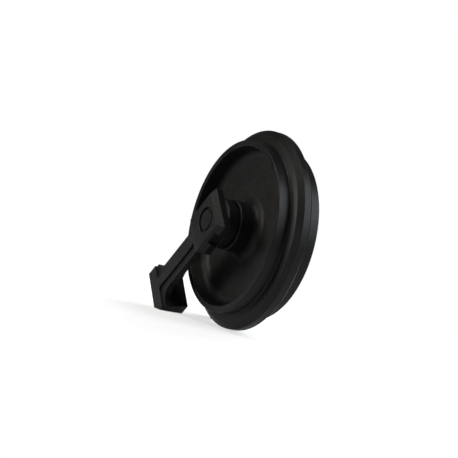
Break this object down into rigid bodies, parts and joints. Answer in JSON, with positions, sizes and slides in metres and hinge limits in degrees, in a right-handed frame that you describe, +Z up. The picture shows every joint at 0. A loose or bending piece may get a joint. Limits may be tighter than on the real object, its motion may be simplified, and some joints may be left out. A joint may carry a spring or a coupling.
{
  "type": "excavator front idler",
  "caption": "Front idler of a compact crawler excavator: a dished wheel with a central guide flange turns on a fixed shaft held in cast brackets with bolt-on feet.",
  "frame": {"origin": "on the ground, below the middle of the part's box", "axes": "+X forward, in the direction the idler faces; +Y left, along the axle; +Z up"},
  "size_m": [0.4096, 0.209, 0.407],
  "materials": {
    "painted_casting": "semi-gloss black paint over a sand casting",
    "painted_steel": "semi-gloss black paint over turned steel",
    "bronze": "machined bronze",
    "seal_iron": "lapped iron",
    "seal_rubber": "nitrile rubber",
    "copper": "soft copper"
  },
  "bodies": {
    "frame": {"shaft": "painted_steel", "right_bracket": "painted_casting", "left_bracket": "painted_casting", "right_lock_pin": "painted_steel", "left_lock_pin": "painted_steel", "right_shaft_oring": "seal_rubber", "left_shaft_oring": "seal_rubber", "right_static_seal": "seal_iron", "left_static_seal": "seal_iron", "right_static_toric": "seal_rubber", "left_static_toric": "seal_rubber", "oil_plug": "painted_steel", "plug_washer": "copper"},
    "wheel": {"idler_wheel": "painted_casting", "right_bushing": "bronze", "left_bushing": "bronze", "right_rotating_seal": "seal_iron", "left_rotating_seal": "seal_iron", "right_rotating_toric": "seal_rubber", "left_rotating_toric": "seal_rubber"}
  },
  "joints": [
    {"name": "wheel_spin", "type": "hinge", "parent": "frame", "child": "wheel", "pos_m": [0.0013, 0, 0.2035], "axis": [0, 1, 0], "continuous": true}
  ]
}
